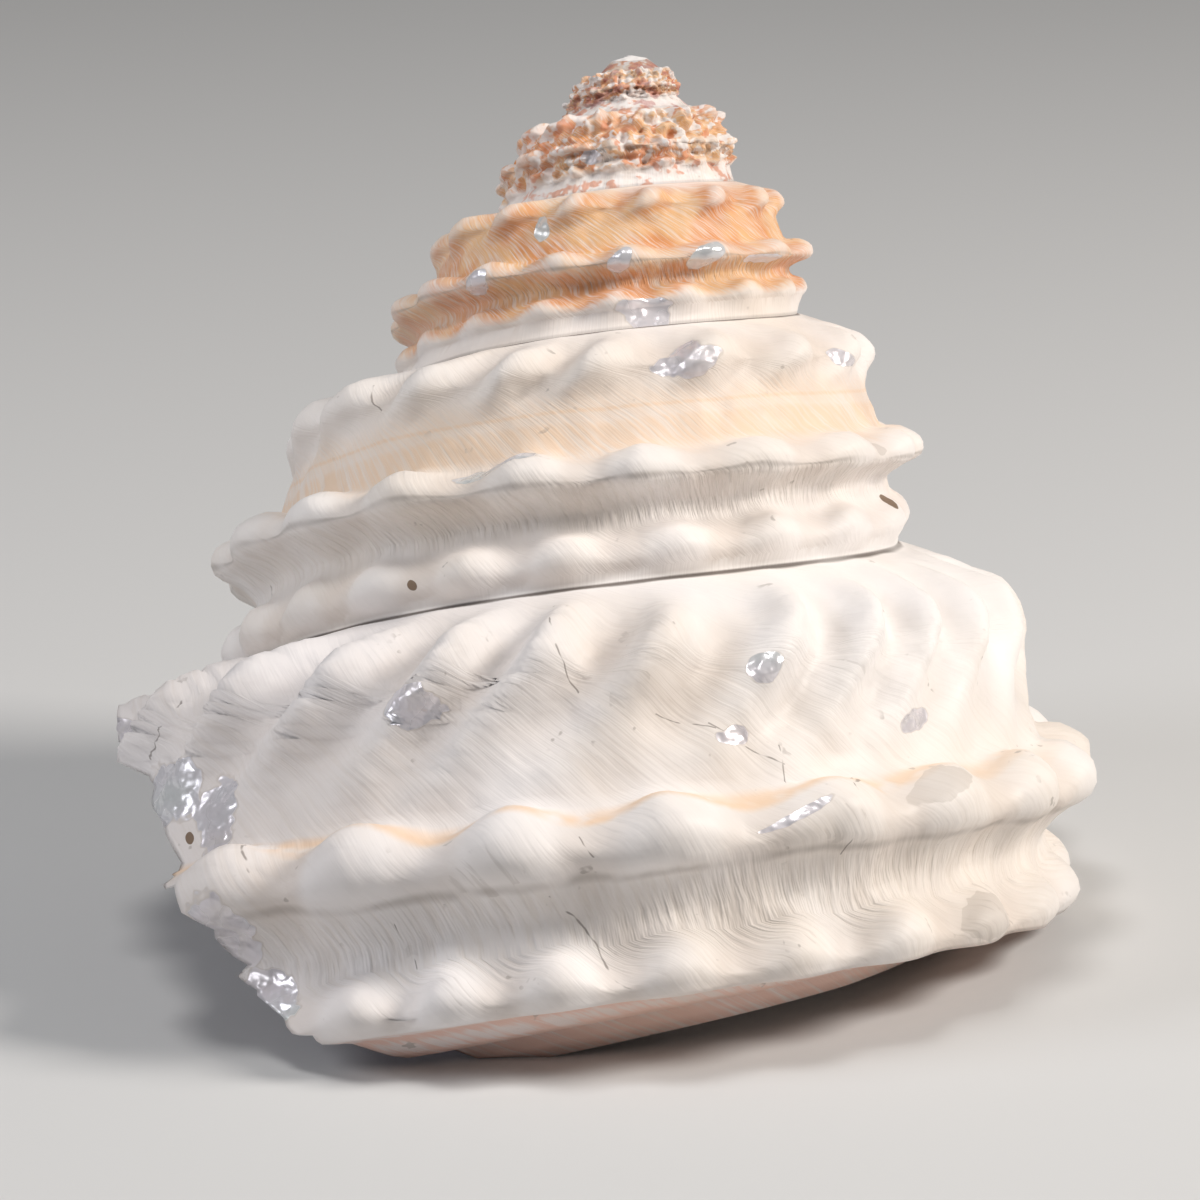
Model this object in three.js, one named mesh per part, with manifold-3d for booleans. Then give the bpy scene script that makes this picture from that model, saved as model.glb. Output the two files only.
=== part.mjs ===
// Wavy turban shell as one closed solid, in millimetres, resting on z = 0 with its apex leaning back.
// Every surface point has a growth phase in whorls (0 where the outer lip would cross the left side) and a
// profile position: radius from the shell's axis and depth below its apex, both as they are at phase 0.
import * as THREE from "three";
import Module from "manifold-3d";

const WHORLS_TO_LIP = 17.366; // how gently the spiral tightens towards the apex
const RADIUS_POWER = 7.968;
const DEPTH_POWER = 9.683;
const FIRST_PHASE = -4.9;
const COARSE_PHASE = -2.05; // older whorls than this carry half as many facets
const APEX_DEPTH = 2.5;
const END_GAP = 1 / 60; // least phase between a row's last facet and its end, for one facet to a wave
const START_GAP = 1 / 100;

const PITCH_TO_SIDE_VIEW = -0.07; // radians, the three turns from the shell's axis to the way it rests
const ROLL_TO_SIDE_VIEW = 0.035;
const PITCH_TO_REST = -0.279;
const FLOOR = -81.7; // the level it rests on, measured from the apex: the bumps below it are worn flat

const FOLD_LEAN = 0.0014; // phase per millimetre of depth
const FOLD_DEPTH = 73.2;
const KEEL_RISE = 0.45; // how far the keels weave up and down
const FOLD_HEIGHT = 1.25;
const UPPER_KEEL_HEIGHT = 1.15;
const LOWER_KEEL_HEIGHT = 0.95;

const SUTURE_LIP_PHASE = 0.02;
const SUTURE_JOIN = 0.08; // phases over which the join under the lower keel fades into the free base
const PARIETAL_SWEEP = 0.09; // how far the base reaches back to the columella at the aperture
const CALLUS_RADII = [44, 9]; // between these the base slopes to the callus that closes the umbilicus
const CALLUS_REACH = 0.2; // phases over which the callus rises from the aperture
const CALLUS_DIP = 0.3; // below the floor, so it is worn flat with the bumps
const CEILING_INSET = [0.925, 0.8]; // share of the radius and millimetres of depth by which the ceiling stands in
const CEILING_FADE = 0.09;

const LINING_END = -1.5; // the hollow is open this many whorls back from the lip
const LINING_STEP = 1 / 18;
const LIP_BEVEL = 0.005;
const LIP_TAPER = 0.09; // phases over which the wall thins to the lip
const LIP_THINNING = 0.45;

// How far the whorls stray from an even spiral, as pairs of growth phase and share of the radius.
const RADIUS_DRIFT = [
  [-4.9, -0.35], [-4.5, -0.06], [-4, -0.18], [-3.5, 0], [-3, -0.08], [-2.5, 0.01],
  [-2, -0.03], [-1.5, -0.025], [-1, 0.01], [-0.5, -0.03], [-0.25, 0], [0.1, 0],
];

// The same as a share of the depth, for the keels and for the base, and the depths between which it sets in.
const KEEL_DRIFT = [[-4.9, 0], [-1, 0], [-0.68, -0.052], [-0.58, -0.04], [-0.45, 0], [0.1, 0]];
const BASE_DRIFT = [[-4.9, 0], [-1, 0], [-0.68, -0.057], [-0.56, -0.05], [-0.35, -0.014], [-0.2, 0], [0.1, 0]];
const DRIFT_DEPTHS = [75, 105];

// How far the profile has passed from the spire's to the last whorl's.
const LATENESS = [[-4.9, 0], [-0.97, 0], [-0.7, 1], [-0.6, 0.9], [-0.5, 0.8], [-0.4, 1], [0.1, 1]];

// Wave crests as pairs of growth phase and running number. Between two pairs the crests are evenly spaced.
const FOLD_CRESTS = [
  [-5.6, -86], [-4.2, -69], [-3.2, -56], [-2.2, -42],
  [-1.365, -29], [-1.304, -28], [-1.237, -27], [-1.191, -26], [-1.139, -25], [-1.074, -24],
  [-0.4105, -9], [-0.378, -8], [-0.3475, -7], [-0.3137, -6], [-0.268, -5], [-0.228, -4],
  [-0.197, -3], [-0.158, -2], [-0.12, -1], [-0.08, 0], [0.04, 2.6],
];
const UPPER_KEEL_CRESTS = [
  [-5.6, -84], [-4.3, -68], [-3.3, -55], [-2.324, -41], [-2.251, -40], [-2.198, -39],
  [-1.319, -24], [-1.261, -23], [-1.209, -22], [-1.148, -21],
  [-0.404, -6], [-0.362, -5], [-0.318, -4], [-0.2675, -3], [-0.2235, -2], [-0.18, -1],
  [-0.1416, 0], [0.04, 4],
];
const LOWER_KEEL_CRESTS = [
  [-5.6, -93], [-4.3, -75], [-3.3, -60], [-2.3, -44],
  [-1.3286, -27], [-1.2796, -26], [-1.2245, -25], [-1.182, -24], [-1.136, -23],
  [-0.465, -8], [-0.425, -7], [-0.385, -6], [-0.346, -5], [-0.309, -4], [-0.272, -3],
  [-0.238, -2], [-0.207, -1], [-0.183, 0], [0.04, 6],
];

const NONE = { crests: FOLD_CRESTS, height: 0, lean: FOLD_LEAN };
const FOLDS = { crests: FOLD_CRESTS, height: FOLD_HEIGHT, lean: FOLD_LEAN };
const UPPER = { crests: UPPER_KEEL_CRESTS, height: UPPER_KEEL_HEIGHT, lean: 0 };
const LOWER = { crests: LOWER_KEEL_CRESTS, height: LOWER_KEEL_HEIGHT, lean: 0 };

// The spire's rows from the suture down. early and late are [radius, depth] on the spire and on the last whorl,
// lip is the phase where the broken lip cuts the row, cuts is the number of facets to a wave.
const ROWS = [
  { early: [36.2, 66.6], late: [36.2, 66.6], lip: SUTURE_LIP_PHASE, wave: NONE, share: 0, cuts: 1.5 },
  { early: [41.5, 68.8], late: [41.5, 68.7], lip: -0.004, wave: FOLDS, share: 0.12, cuts: 2 },
  { early: [45.4, 70.9], late: [45.6, 70.9], lip: -0.02, wave: FOLDS, share: 0.5, cuts: 4 },
  { early: [48.2, 72.8], late: [48.4, 72.9], lip: -0.034, wave: FOLDS, share: 0.95, cuts: 4 },
  { early: [50.1, 75.2], late: [50.3, 75.2], lip: -0.042, wave: FOLDS, share: 1, cuts: 4 },
  { early: [50.2, 78.0], late: [51.3, 77.9], lip: -0.068, wave: FOLDS, share: 0.8, cuts: 4 },
  { early: [50.5, 82.0], late: [51.9, 81.8], lip: -0.082, wave: FOLDS, share: 0.3, cuts: 2 },
  { early: [51.9, 86.8], late: [53.2, 86.2], lip: -0.098, wave: FOLDS, share: 0.06, cuts: 1.5 },
  { early: [54.2, 92.4], late: [54.8, 90.8], lip: -0.113, wave: UPPER, share: 0.2, cuts: 2 },
  { early: [58.6, 93.7], late: [58.2, 91.8], lip: -0.12, wave: UPPER, share: 0.75, cuts: 4 },
  { early: [61.9, 96.2], late: [61.0, 94.2], lip: -0.128, wave: UPPER, share: 1, cuts: 4 },
  { early: [62.0, 99.2], late: [61.0, 97.2], lip: -0.135, wave: UPPER, share: 1, cuts: 4 },
  { early: [58.6, 101.6], late: [57.8, 99.7], lip: -0.139, wave: UPPER, share: 0.4, cuts: 3 },
  { early: [55.8, 104.6], late: [55.8, 102.8], lip: -0.143, wave: UPPER, share: 0.1, cuts: 1.5 },
  { early: [56.6, 108.2], late: [56.2, 105.6], lip: -0.145, wave: LOWER, share: 0.3, cuts: 2 },
  { early: [59.2, 110.8], late: [58.2, 108.2], lip: -0.158, wave: LOWER, share: 0.85, cuts: 4 },
  { early: [60.4, 114.0], late: [59.2, 110.4], lip: -0.166, wave: LOWER, share: 1, cuts: 4 },
  { early: [59.4, 116.8], late: [58.0, 112.2], lip: -0.172, wave: LOWER, share: 0.8, cuts: 4 },
];

// The base from the join under the lower keel to the columella: cords and the grooves between them.
const JOIN = [58.0, 118.15];
const EARLY_BASE_DROP = 6.6; // how much deeper the base lies under the spire's lower keel
const BASE_RISE = [-0.98, -0.75];
const BASE_ROWS = [
  { at: [55.6, 112.4], lip: -0.178, cuts: 2 },
  { at: [54.0, 113.4], lip: -0.183, cuts: 2 },
  { at: [51.6, 114.4], lip: -0.19, cuts: 2 },
  { at: [49.4, 113.8], lip: -0.2, cuts: 2 },
  { at: [46.6, 117.0], lip: -0.218, cuts: 2 },
  { at: [43.4, 114.0], lip: -0.223, cuts: 1 },
  { at: [40.4, 114.4], lip: -0.23, cuts: 1 },
  { at: [36.6, 112.4], lip: -0.232, cuts: 1 },
  { at: [30.0, 110.4], lip: -0.236, cuts: 1 },
  { at: [22.5, 107.6], lip: -0.242, cuts: 1 },
  { at: [15.0, 103.8], lip: -0.25, cuts: 1 },
  { at: [9.0, 101.2], lip: -0.258, cuts: 1 },
  { at: [4.0, 99.6], lip: -0.268, cuts: 0.5 },
];

// The inside of the wall, from under the suture round to the foot of the columella.
const LINING_ROWS = [
  { at: [40.8, 71.4], lip: -0.01 },
  { at: [46.0, 74.2], lip: -0.036 },
  { at: [48.3, 78.5], lip: -0.066 },
  { at: [49.8, 85.0], lip: -0.092 },
  { at: [52.2, 90.5], lip: -0.112 },
  { at: [55.4, 95.4], lip: -0.13 },
  { at: [53.2, 100.6], lip: -0.143 },
  { at: [53.0, 104.8], lip: -0.147 },
  { at: [54.6, 109.0], lip: -0.164 },
  { at: [50.6, 110.6], lip: -0.188 },
  { at: [44.6, 110.8], lip: -0.216 },
  { at: [37.0, 109.0], lip: -0.229 },
  { at: [28.5, 106.8], lip: -0.236 },
  { at: [20.0, 103.4], lip: -0.244 },
  { at: [13.5, 99.4], lip: -0.254 },
];

// The columella's edge in the aperture, from its foot up to the base of the whorl above.
const COLUMELLA_ROWS = [
  { at: [9.6, 95.5], lip: -0.235 },
  { at: [7.4, 89.0], lip: -0.2 },
  { at: [6.4, 80.5], lip: -0.15 },
  { at: [6.6, 72.0], lip: -0.1 },
];

const vertices = [];
const triangles = [];

const rest = new THREE.Matrix4()
  .makeRotationX(PITCH_TO_REST)
  .multiply(new THREE.Matrix4().makeRotationY(ROLL_TO_SIDE_VIEW))
  .multiply(new THREE.Matrix4().makeRotationX(PITCH_TO_SIDE_VIEW));

function mix(a, b, t) {
  return a + (b - a) * t;
}

function mixPair(a, b, t) {
  return [mix(a[0], b[0], t), mix(a[1], b[1], t)];
}

function smooth(from, to, x) {
  const t = THREE.MathUtils.clamp((x - from) / (to - from), 0, 1);
  return t * t * (3 - 2 * t);
}

// Reads column `to` of a list of pairs at the place where column `from` equals x.
function lookUp(pairs, from, to, x) {
  let i = 1;
  while (i < pairs.length - 1 && pairs[i][from] < x) i += 1;
  const [a, b] = [pairs[i - 1], pairs[i]];
  return mix(a[to], b[to], (x - a[from]) / (b[from] - a[from]));
}

function addVertex(phase, [radius, depth]) {
  const size = 1 + phase / WHORLS_TO_LIP;
  const turn = Math.PI - 2 * Math.PI * phase;
  const r = radius * size ** RADIUS_POWER * (1 + lookUp(RADIUS_DRIFT, 0, 1, phase));
  const z = -depth * size ** DEPTH_POWER;
  const point = new THREE.Vector3(r * Math.cos(turn), r * Math.sin(turn), z);
  vertices.push(point.applyMatrix4(rest));
  return vertices.length - 1;
}

function drifted(depth, drift, phase) {
  return depth * (1 + lookUp(drift, 0, 1, phase) * smooth(...DRIFT_DEPTHS, depth));
}

function spirePair(row, phase) {
  const [radius, depth] = mixPair(row.early, row.late, lookUp(LATENESS, 0, 1, phase));
  return [radius, drifted(depth, KEEL_DRIFT, phase)];
}

// The unit normal of the profile at one row, pointing away from the axis.
function profileNormal(index, phase) {
  const above = spirePair(ROWS[Math.max(index - 1, 0)], phase);
  const below = spirePair(ROWS[Math.min(index + 1, ROWS.length - 1)], phase);
  const [dr, dz] = [below[0] - above[0], below[1] - above[1]];
  const length = Math.hypot(dr, dz);
  return [dz / length, -dr / length];
}

function waveAt(row, phase, depth) {
  const leaning = phase - row.wave.lean * (depth - FOLD_DEPTH);
  return Math.cos(2 * Math.PI * lookUp(row.wave.crests, 0, 1, leaning));
}

function spirePoint(index, phase) {
  const row = ROWS[index];
  const [radius, depth] = spirePair(row, phase);
  const normal = profileNormal(index, phase);
  const wave = waveAt(row, phase, depth);
  const out = row.share * row.wave.height * wave;
  const rise = row.wave === UPPER || row.wave === LOWER ? row.share * KEEL_RISE * wave : 0;
  return [radius + out * normal[0], depth + out * normal[1] - rise];
}

// Phases from `start` to `end`, at even shares of the row's own waves.
function wavePhases(row, start, end) {
  const { crests, lean } = row.wave;
  const shift = lean * ((row.late ?? row.at)[1] - FOLD_DEPTH);
  const phases = [start];
  let count = Math.ceil(lookUp(crests, 0, 1, start - shift)) - 1;
  for (;;) {
    const coarse = lookUp(crests, 1, 0, count) < COARSE_PHASE;
    const cuts = coarse ? Math.max(row.cuts / 2, 1) : row.cuts;
    count += 1 / cuts;
    const phase = lookUp(crests, 1, 0, count) + shift;
    if (phase > end - END_GAP / cuts) break;
    if (phase > phases.at(-1) + START_GAP / cuts ** 2) phases.push(phase);
  }
  phases.push(end);
  return phases;
}

function makeRow(phases, pairAt) {
  return phases.map((phase) => ({ phase, vertex: addVertex(phase, pairAt(phase)) }));
}

// Joins two rows of vertices into a band of triangles, always over the shorter diagonal.
function joinRows(a, b, flip = false) {
  let [i, j] = [0, 0];
  const span = (p, q) => vertices[p.vertex].distanceTo(vertices[q.vertex]);
  while (i < a.length - 1 || j < b.length - 1) {
    const alongA = j === b.length - 1 || (i < a.length - 1 && span(a[i + 1], b[j]) < span(a[i], b[j + 1]));
    const corner = alongA ? a[i + 1] : b[j + 1];
    addTriangle(a[i].vertex, corner.vertex, b[j].vertex, flip);
    if (alongA) i += 1;
    else j += 1;
  }
}

function addTriangle(a, b, c, flip = false) {
  if (a === b || b === c || a === c) return;
  triangles.push(flip ? [a, c, b] : [a, b, c]);
}

function makeSpireRows() {
  return ROWS.map((row, index) => {
    const phases = wavePhases(row, FIRST_PHASE, row.lip);
    return makeRow(phases, (phase) => spirePoint(index, phase));
  });
}

// The suture row seen from the whorl above it: the same vertices, one whorl earlier.
function sutureFromAbove(suture) {
  return suture
    .filter((p) => p.phase - 1 >= FIRST_PHASE)
    .map((p) => ({ phase: p.phase - 1, vertex: p.vertex }));
}

function closeApex(rows, suture, fromAbove) {
  const tip = addVertex(FIRST_PHASE, [0, 0]);
  vertices[tip].copy(new THREE.Vector3(0, 0, -APEX_DEPTH).applyMatrix4(rest));
  const firstTurn = suture.slice(0, suture.length - fromAbove.length + 1);
  firstTurn.slice(1).forEach((p, i) => addTriangle(tip, p.vertex, firstTurn[i].vertex));
  const firstColumn = [...rows.map((row) => row[0]), fromAbove[0]];
  firstColumn.slice(1).forEach((p, i) => addTriangle(tip, p.vertex, firstColumn[i].vertex, true));
}

function basePair(index, phase) {
  const { at } = BASE_ROWS[index];
  const depth = at[1] + EARLY_BASE_DROP * (1 - smooth(...BASE_RISE, phase));
  return [at[0], drifted(depth, BASE_DRIFT, phase)];
}

function joinPair(phase) {
  const free = mixPair(spirePair(ROWS.at(-1), phase), basePair(0, phase), 0.5);
  const start = SUTURE_LIP_PHASE - 1;
  return mixPair(JOIN, free, smooth(start, start + SUTURE_JOIN, phase));
}

function parietalPhase(index) {
  return SUTURE_LIP_PHASE - 1 - (PARIETAL_SWEEP * (index + 1)) / BASE_ROWS.length;
}

function makeBaseRows() {
  return BASE_ROWS.map((row, index) => {
    const waved = { ...row, wave: NONE };
    const start = parietalPhase(index);
    const phases = wavePhases(waved, start, row.lip);
    const made = makeRow(phases, (phase) => basePair(index, phase));
    made.forEach((p) => fillToCallus(p, row.at[0], start));
    return made;
  });
}

function fillToCallus({ phase, vertex }, radius, start) {
  const [outer, inner] = CALLUS_RADII;
  const share = THREE.MathUtils.clamp((outer - radius) / (outer - inner), 0, 1) ** 1.5;
  const level = FLOOR - CALLUS_DIP;
  const sunk = share * smooth(start, start + CALLUS_REACH, phase);
  vertices[vertex].z = mix(vertices[vertex].z, Math.min(vertices[vertex].z, level), sunk);
}

function makeJoinRow(suture) {
  const row = { at: JOIN, wave: NONE, cuts: 2 };
  const phases = wavePhases(row, SUTURE_LIP_PHASE - 1, ROWS.at(-1).lip - 0.003);
  const made = makeRow(phases, joinPair);
  made[0].vertex = suture.at(-1).vertex;
  return made;
}

function liningPhases(from) {
  const phases = [];
  for (let phase = from; phase > LINING_END + from + LINING_STEP / 2; phase -= LINING_STEP) phases.push(phase);
  phases.push(LINING_END + from);
  return phases;
}

// The last whorl's outline nearest to a point inside it, to thin the wall towards the lip.
function thinned(at, back) {
  const share = LIP_THINNING * (1 - smooth(0, LIP_TAPER, back));
  const outline = [...ROWS.map((row) => row.late), ...BASE_ROWS.map((row) => row.at)];
  const near = (pair) => Math.hypot(pair[0] - at[0], pair[1] - at[1]);
  const closest = outline.reduce((best, pair) => (near(pair) < near(best) ? pair : best));
  return mixPair(at, closest, share);
}

function makeLiningRow({ at, lip }) {
  const from = lip - LIP_BEVEL;
  return makeRow(liningPhases(from), (phase) => {
    const [radius, depth] = thinned(at, from - phase);
    return [radius, drifted(depth, BASE_DRIFT, phase)];
  });
}

function makeColumellaRow({ at, lip }) {
  return makeRow(liningPhases(lip), () => at);
}

function ceilingPair(index, phase, back) {
  const [radius, depth] = basePair(index, phase);
  const [share, sink] = CEILING_INSET;
  const inset = smooth(0, CEILING_FADE, back);
  return [radius * mix(1, share, inset), depth + sink * inset];
}

function makeCeilingRow(base, index) {
  const from = base[index][0];
  const made = makeRow(liningPhases(from.phase), (phase) => ceilingPair(index, phase, from.phase - phase));
  made[0].vertex = from.vertex;
  return made;
}

function closeDeepEnd(ring) {
  const ends = ring.map((row) => row.at(-1).vertex);
  const middle = new THREE.Vector3();
  ends.forEach((end) => middle.add(vertices[end]));
  vertices.push(middle.divideScalar(ends.length));
  const centre = vertices.length - 1;
  ends.forEach((end, i) => addTriangle(centre, end, ends[(i + 1) % ends.length], true));
}

// The base's innermost row and the columella's edge meet in one point at the foot of the axis.
function closeColumella(innermost, edge) {
  const foot = addVertex(innermost.at(-1).phase, [0, BASE_ROWS.at(-1).at[1]]);
  vertices[foot].z = FLOOR - CALLUS_DIP;
  const loop = [...innermost, ...edge];
  loop.slice(1).forEach((p, i) => addTriangle(foot, loop[i].vertex, p.vertex));
}

function buildShell() {
  const rows = makeSpireRows();
  rows.slice(1).forEach((row, i) => joinRows(rows[i], row));
  const fromAbove = sutureFromAbove(rows[0]);
  const covered = SUTURE_LIP_PHASE - 1;
  const last = rows.at(-1);
  const split = last.findIndex((p) => p.phase >= covered);
  joinRows(last.slice(0, split + 1), fromAbove);
  closeApex(rows, rows[0], fromAbove);

  const join = makeJoinRow(rows[0]);
  const base = makeBaseRows();
  joinRows(last.slice(split), join);
  joinRows(join, base[0]);
  base.slice(1).forEach((row, i) => joinRows(base[i], row));

  const lining = LINING_ROWS.map(makeLiningRow);
  const columella = COLUMELLA_ROWS.map(makeColumellaRow);
  const ceiling = base.map((_, index) => makeCeilingRow(base, index)).reverse();
  const ring = [ceiling.at(-1), ...lining, ...columella, ...ceiling.slice(0, -1)];
  ring.forEach((row, i) => joinRows(row, ring[(i + 1) % ring.length]));
  closeDeepEnd(ring);

  const outerLip = [...rows, join, ...base].map((row) => row.at(-1));
  const innerLip = [ceiling.at(-1), ...lining, columella[0]].map((row) => row[0]);
  joinRows(outerLip, innerLip, true);
  const columellaEdge = [...columella, ceiling[0]].map((row) => row[0]);
  closeColumella(base.at(-1), columellaEdge);
}

function toManifold(wasm) {
  return new wasm.Manifold(
    new wasm.Mesh({
      numProp: 3,
      vertProperties: new Float32Array(vertices.flatMap((v) => v.toArray())),
      triVerts: new Uint32Array(triangles.flat()),
    }),
  );
}

function toMesh(solid, name) {
  const data = solid.getMesh();
  const geometry = new THREE.BufferGeometry();
  geometry.setAttribute("position", new THREE.BufferAttribute(data.vertProperties, 3));
  geometry.setIndex(new THREE.BufferAttribute(data.triVerts, 1));
  geometry.computeVertexNormals();
  const mesh = new THREE.Mesh(geometry, new THREE.MeshStandardMaterial({ color: 0xe9e2d8, roughness: 0.7 }));
  mesh.name = name;
  return mesh;
}

const wasm = await Module();
wasm.setup();
buildShell();
const whole = toManifold(wasm);
const trimmed = whole.trimByPlane([0, 0, 1], FLOOR);
const box = trimmed.boundingBox();
const centred = trimmed.translate([
  -(box.min[0] + box.max[0]) / 2,
  -(box.min[1] + box.max[1]) / 2,
  -box.min[2],
]);

const group = new THREE.Group();
group.add(toMesh(centred, "shell"));
export default group;
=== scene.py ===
"""Wavy turban shell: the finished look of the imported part, with its stage.

Every point of the shell has growth coordinates: the phase in whorls, 0 where the outer lip would cross the
left side, and the depth below the apex in millimetres as it is at phase 0. Both maps of the mesh hold them.
"""
import math
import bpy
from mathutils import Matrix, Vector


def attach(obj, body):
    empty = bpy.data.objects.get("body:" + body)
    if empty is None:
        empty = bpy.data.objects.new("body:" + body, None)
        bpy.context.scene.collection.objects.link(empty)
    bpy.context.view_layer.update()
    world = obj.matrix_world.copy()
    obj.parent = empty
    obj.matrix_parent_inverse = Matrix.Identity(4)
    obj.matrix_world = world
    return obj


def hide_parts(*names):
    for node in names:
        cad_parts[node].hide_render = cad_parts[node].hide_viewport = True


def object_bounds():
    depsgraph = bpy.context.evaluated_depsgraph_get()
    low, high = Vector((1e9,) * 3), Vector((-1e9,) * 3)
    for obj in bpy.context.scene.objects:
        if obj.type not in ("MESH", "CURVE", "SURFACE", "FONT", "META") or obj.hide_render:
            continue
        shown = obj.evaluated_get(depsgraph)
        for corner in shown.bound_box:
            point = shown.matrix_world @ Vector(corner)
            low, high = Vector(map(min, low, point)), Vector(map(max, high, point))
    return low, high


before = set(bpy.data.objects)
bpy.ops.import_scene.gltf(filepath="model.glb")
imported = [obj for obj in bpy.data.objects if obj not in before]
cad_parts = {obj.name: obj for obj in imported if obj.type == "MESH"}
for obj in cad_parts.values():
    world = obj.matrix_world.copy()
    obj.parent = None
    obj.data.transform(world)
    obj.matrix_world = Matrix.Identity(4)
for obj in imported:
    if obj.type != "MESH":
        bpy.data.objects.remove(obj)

from types import SimpleNamespace

import bmesh
import bpy
import numpy as np
from bpy.props import FloatProperty, FloatVectorProperty, PointerProperty
from mathutils import Matrix, Vector, noise

bl_info = {
    "name": "Wavy turban shell",
    "version": (1, 0, 0),
    "blender": (4, 5, 0),
    "location": "3D View > Sidebar > Shell",
    "description": "Builds a weathered wavy turban shell and its stage",
    "category": "Add Mesh",
}

CAD_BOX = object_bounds()
MM = 0.001

# The spiral, in whorls and millimetres.
WHORLS_TO_LIP = 17.366
RADIUS_POWER = 7.968
DEPTH_POWER = 9.683
FIRST_PHASE = -4.9
APEX_DEPTH = 2.5
PITCH_TO_SIDE_VIEW = -0.07
ROLL_TO_SIDE_VIEW = 0.035
PITCH_TO_REST = -0.279
CENTRING = (2.4806, 31.4589, 81.7)  # from the apex to the middle of the base of its box
REST = (
    Matrix.Rotation(PITCH_TO_REST, 3, "X")
    @ Matrix.Rotation(ROLL_TO_SIDE_VIEW, 3, "Y")
    @ Matrix.Rotation(PITCH_TO_SIDE_VIEW, 3, "X")
)

FOLD_LEAN = 0.0014
FOLD_DEPTH = 73.2
FOLD_TAIL = (76.0, 0.001)  # depth below which the folds sweep towards the lip, and phase per millimetre
CREST_SHARE = 1.2
TROUGH_SHARE = 0.85  # the troughs between the folds are shallower than the folds are high
SHORT_FOLDS = ((76, 84), (-0.9, -1.2))  # depths and phases over which the older folds end
OLDER_WAVES = ((0.4, -1.8, -2.1), (0.5, -2.4, -2.9))  # how much more older waves stand out, and where
UNEVEN = (1.0, 0.55)  # scale and height in millimetres
LUMPS = (1.15, 6.5)  # the same, for the oldest whorls, as they would be at phase 0
LUMP_PHASES = (-2.6, -3.4)
LUMP_RING = 9
LUMPS_A_WHORL_UP = 2.2
LUMPS_A_MILLIMETRE = 0.16
THIN_LIP = (-0.15, -0.07)  # phases over which the troughs run out, where the wall is thin
SUTURE_LIP = 0.02
COVERED = SUTURE_LIP - 1
SUTURE_JOIN = 0.08
PARIETAL_SWEEP = 0.09
CALLUS_RADII = (44, 9)
CALLUS_REACH = 0.2
CALLUS_DIP = 0.3
CEILING_INSET = (0.925, 0.8)
CEILING_FADE = 0.09
LINING_REACH = 1.5
LIP_BEVEL = 0.005
LIP_TAPER = 0.09
LIP_THINNING = 0.45
SPLINTERS_A_ROW = 2.3
SPLINTER_REACH = 0.006
LIP_WARP = 0.6  # whorls over which the columns turn to follow the broken lip
PARIETAL_WARP = 0.28

RADIUS_DRIFT = (
    (-4.9, -0.6), (-4.7, -0.36), (-4.5, -0.16), (-4, -0.18), (-3.5, 0), (-3, -0.08), (-2.5, 0.01),
    (-2, -0.03), (-1.5, -0.025), (-1, 0.01), (-0.5, -0.03), (-0.25, 0), (0.1, 0),
)
KEEL_DRIFT = ((-4.9, 0), (-1, 0), (-0.68, -0.052), (-0.58, -0.04), (-0.45, 0), (0.1, 0))
BASE_DRIFT = ((-4.9, 0), (-1, 0), (-0.68, -0.057), (-0.56, -0.05), (-0.35, -0.014), (-0.2, 0), (0.1, 0))
DRIFT_DEPTHS = (75, 105)
LATENESS = ((-4.9, 0), (-0.97, 0), (-0.7, 1), (-0.6, 0.9), (-0.5, 0.8), (-0.4, 1), (0.1, 1))

FOLD_CRESTS = (
    (-5.6, -86), (-4.2, -69), (-3.2, -56), (-2.2, -42),
    (-1.365, -29), (-1.304, -28), (-1.237, -27), (-1.191, -26), (-1.139, -25), (-1.074, -24),
    (-0.4105, -9), (-0.378, -8), (-0.3475, -7), (-0.3137, -6), (-0.268, -5), (-0.228, -4),
    (-0.197, -3), (-0.158, -2), (-0.12, -1), (-0.08, 0), (0.04, 2.6),
)
UPPER_CRESTS = (
    (-5.6, -84), (-4.3, -68), (-3.3, -55), (-2.324, -41), (-2.251, -40), (-2.198, -39),
    (-1.319, -24), (-1.261, -23), (-1.209, -22), (-1.148, -21),
    (-0.404, -6), (-0.362, -5), (-0.318, -4), (-0.2675, -3), (-0.2235, -2), (-0.18, -1),
    (-0.1416, 0), (0.04, 4),
)
LOWER_CRESTS = (
    (-5.6, -93), (-4.3, -75), (-3.3, -60), (-2.3, -44),
    (-1.3286, -27), (-1.2796, -26), (-1.2245, -25), (-1.182, -24), (-1.136, -23),
    (-0.465, -8), (-0.425, -7), (-0.385, -6), (-0.346, -5), (-0.309, -4), (-0.272, -3),
    (-0.238, -2), (-0.207, -1), (-0.183, 0), (0.04, 6),
)

# Rows from the suture down: radius and depth on the spire, on the last whorl, then the phase of the lip.
ROWS = (
    (36.2, 66.6, 36.2, 66.6, 0.02), (41.5, 68.8, 41.5, 68.7, -0.004), (45.4, 70.9, 45.6, 70.9, -0.02),
    (48.2, 72.8, 48.4, 72.9, -0.034), (50.1, 75.2, 50.3, 75.2, -0.042), (50.2, 78.0, 51.3, 77.9, -0.068),
    (50.5, 82.0, 51.9, 81.8, -0.082), (51.9, 86.8, 53.2, 86.2, -0.098), (54.2, 92.4, 54.8, 90.8, -0.113),
    (58.6, 93.7, 58.2, 91.8, -0.12), (61.9, 96.2, 61.0, 94.2, -0.128), (62.0, 99.2, 61.0, 97.2, -0.135),
    (58.6, 101.6, 57.8, 99.7, -0.139), (55.8, 104.6, 55.8, 102.8, -0.143), (56.6, 108.2, 56.2, 105.6, -0.145),
    (59.2, 110.8, 58.2, 108.2, -0.158), (60.4, 114.0, 59.2, 110.4, -0.166),
    (59.4, 116.8, 58.0, 112.2, -0.172),
)
LAST_ROW = len(ROWS) - 1
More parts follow.
